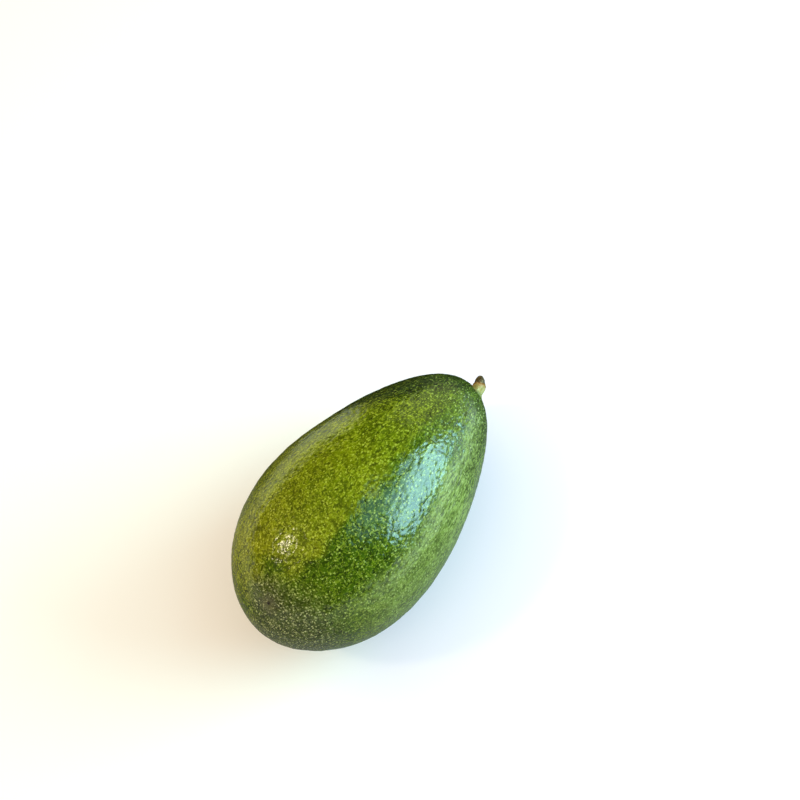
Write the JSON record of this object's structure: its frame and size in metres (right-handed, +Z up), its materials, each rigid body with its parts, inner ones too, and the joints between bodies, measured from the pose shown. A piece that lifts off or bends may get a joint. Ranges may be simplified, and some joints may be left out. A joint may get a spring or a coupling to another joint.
{
  "type": "avocado",
  "caption": "Whole green avocado of long oval shape lying on its side, with pebbled skin and the short cut stem still on its narrow end.",
  "frame": {"origin": "middle of the small flat spot that the fruit rests on", "axes": "+X level along the fruit towards its stem end, +Z up"},
  "size_m": [0.1352, 0.0702, 0.0696],
  "materials": {
    "green_skin": "satin, pebbled fruit skin with pale green dots",
    "stem_bark": "matte, pale yellow-green bark with a brown ring and a dry cut end"
  },
  "bodies": {
    "root": {"fruit": "green_skin", "stem_stub": "stem_bark"}
  },
  "joints": []
}
